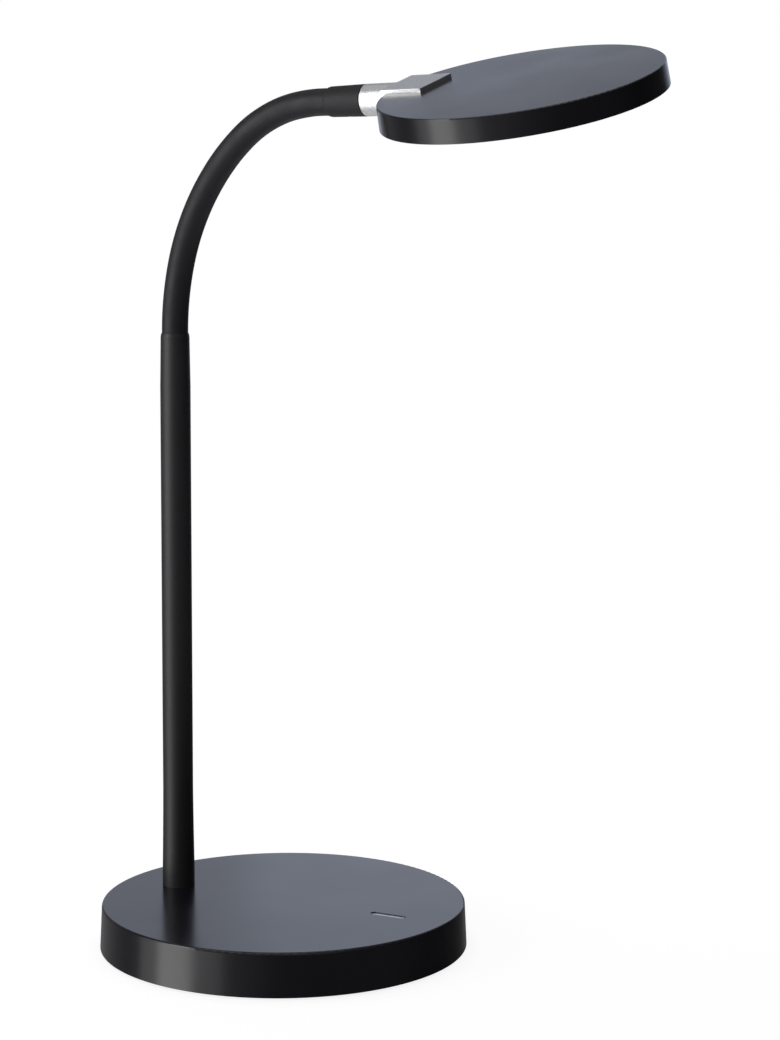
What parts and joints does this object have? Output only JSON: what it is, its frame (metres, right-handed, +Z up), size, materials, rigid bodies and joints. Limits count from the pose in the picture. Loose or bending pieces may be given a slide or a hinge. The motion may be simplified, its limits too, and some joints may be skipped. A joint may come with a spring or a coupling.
{
  "type": "gooseneck desk lamp",
  "caption": "Black desk lamp with a round weighted base, touch bar, straight pole, bendable neck and a flat round lit head on a silver bracket.",
  "frame": {"origin": "middle of the pad's underside, on the table", "axes": "+Z up the pole; +X from the pole across the base to the touch bar, the way the arm reaches; +Y to the left when seen from the touch bar's side looking at the pole from behind"},
  "size_m": [0.299, 0.184, 0.4482],
  "materials": {
    "housing": "satin moulded black",
    "bottom": "matt black",
    "pad": "foam rubber",
    "iron": "raw casting",
    "steel": "zinc plated",
    "black_steel": "satin black",
    "pole": "satin black powder coat",
    "sleeve": "matt black",
    "bracket": "blasted silver",
    "pan": "mill finish",
    "touch": "satin",
    "board": "solder mask",
    "chip": "moulded",
    "jack": "moulded",
    "brass": "plated",
    "connector": "moulded",
    "lead": "jacket",
    "white_sheet": "matt white",
    "guide": "clear acrylic",
    "opal": "opal",
    "led": "phosphor"
  },
  "bodies": {
    "base": {"base_bottom": "bottom", "base_cover": "housing", "base_pad": "pad", "base_weight": "iron", "board_parts": "chip", "board_screws": "steel", "bottom_screws": "steel", "driver_board": "board", "jack_body": "jack", "jack_contact": "brass", "jack_pin": "brass", "lead_plug": "connector", "lock_washer": "steel", "pole_nut": "steel", "pole_plate": "steel", "pole_stem": "steel", "pole_tube": "pole", "touch_bar": "touch", "touch_board": "board", "touch_chip": "chip", "touch_lead": "lead", "touch_screws": "steel", "touch_springs": "steel", "weight_screws": "steel", "neck_socket": "steel", "neck_root": "steel", "neck_sleeve": "sleeve", "lamp_lead": "lead"},
    "link_1": {"neck_link_1": "steel"},
    "link_2": {"neck_link_2": "steel"},
    "link_3": {"neck_link_3": "steel"},
    "link_4": {"neck_link_4": "steel"},
    "link_5": {"neck_link_5": "steel"},
    "link_6": {"neck_link_6": "steel"},
    "link_7": {"neck_link_7": "steel"},
    "link_8": {"neck_link_8": "steel"},
    "neck_tip": {"neck_end": "steel", "head_ferrule": "black_steel", "grub_screw": "steel"},
    "head": {"diffuser": "opal", "head_bezel": "housing", "head_bracket": "bracket", "head_shell": "housing", "led_chips": "led", "led_strip": "white_sheet", "light_guide": "guide", "light_pan": "pan", "pan_screws": "steel", "reflector": "white_sheet", "swivel_stud": "steel", "swivel_washer": "steel", "tab_screws": "steel"}
  },
  "joints": [
    {"name": "neck_bend_1", "type": "hinge", "parent": "base", "child": "link_1", "pos_m": [-0.06176, -0.00003, 0.31515], "axis": [0.1011, 0.9949, 0], "range_deg": [-13, 13], "deforming": ["neck_sleeve", "lamp_lead"]},
    {"name": "neck_sway_1", "type": "hinge", "parent": "link_1", "child": "link_2", "pos_m": [-0.05944, -0.00026, 0.3335], "axis": [0.9767, -0.0992, -0.1904], "range_deg": [-12, 12], "deforming": ["neck_sleeve", "lamp_lead"]},
    {"name": "neck_bend_2", "type": "hinge", "parent": "link_2", "child": "link_3", "pos_m": [-0.05477, -0.00074, 0.35139], "axis": [0.1011, 0.9949, 0], "range_deg": [-13, 13], "deforming": ["neck_sleeve", "lamp_lead"]},
    {"name": "neck_sway_2", "type": "hinge", "parent": "link_3", "child": "link_4", "pos_m": [-0.04747, -0.00148, 0.36837], "axis": [0.8804, -0.0894, -0.4657], "range_deg": [-12, 12], "deforming": ["neck_sleeve", "lamp_lead"]},
    {"name": "neck_bend_3", "type": "hinge", "parent": "link_4", "child": "link_5", "pos_m": [-0.03768, -0.00248, 0.38403], "axis": [0.1011, 0.9949, 0], "range_deg": [-13, 13], "deforming": ["neck_sleeve", "lamp_lead"]},
    {"name": "neck_sway_3", "type": "hinge", "parent": "link_5", "child": "link_6", "pos_m": [-0.02562, -0.0037, 0.398], "axis": [0.6911, -0.0702, -0.7193], "range_deg": [-12, 12], "deforming": ["neck_sleeve", "lamp_lead"]},
    {"name": "neck_bend_4", "type": "hinge", "parent": "link_6", "child": "link_7", "pos_m": [-0.01133, -0.00515, 0.40961], "axis": [0.1011, 0.9949, 0], "range_deg": [-13, 13], "deforming": ["neck_sleeve", "lamp_lead"]},
    {"name": "neck_sway_4", "type": "hinge", "parent": "link_7", "child": "link_8", "pos_m": [0.00534, -0.00685, 0.41737], "axis": [0.3023, -0.0307, -0.9527], "range_deg": [-12, 12], "deforming": ["neck_sleeve", "lamp_lead"]},
    {"name": "neck_bend_5", "type": "hinge", "parent": "link_8", "child": "neck_tip", "pos_m": [0.0234, -0.00868, 0.42074], "axis": [0.1011, 0.9949, 0], "range_deg": [-13, 13], "deforming": ["neck_sleeve", "lamp_lead"]},
    {"name": "head_swivel", "type": "hinge", "parent": "neck_tip", "child": "head", "pos_m": [0.05398, -0.01179, 0.42179], "axis": [0.9943, -0.101, 0.0332], "range_deg": [-105.4, 74.6], "deforming": ["lamp_lead"]}
  ],
  "couplings": [
    {"joint": "neck_bend_2", "follows": "neck_bend_1", "ratio": 1},
    {"joint": "neck_sway_2", "follows": "neck_sway_1", "ratio": 1},
    {"joint": "neck_sway_3", "follows": "neck_sway_1", "ratio": 1},
    {"joint": "neck_bend_4", "follows": "neck_bend_3", "ratio": 1},
    {"joint": "neck_sway_4", "follows": "neck_sway_1", "ratio": 1},
    {"joint": "neck_bend_5", "follows": "neck_bend_3", "ratio": 1}
  ]
}
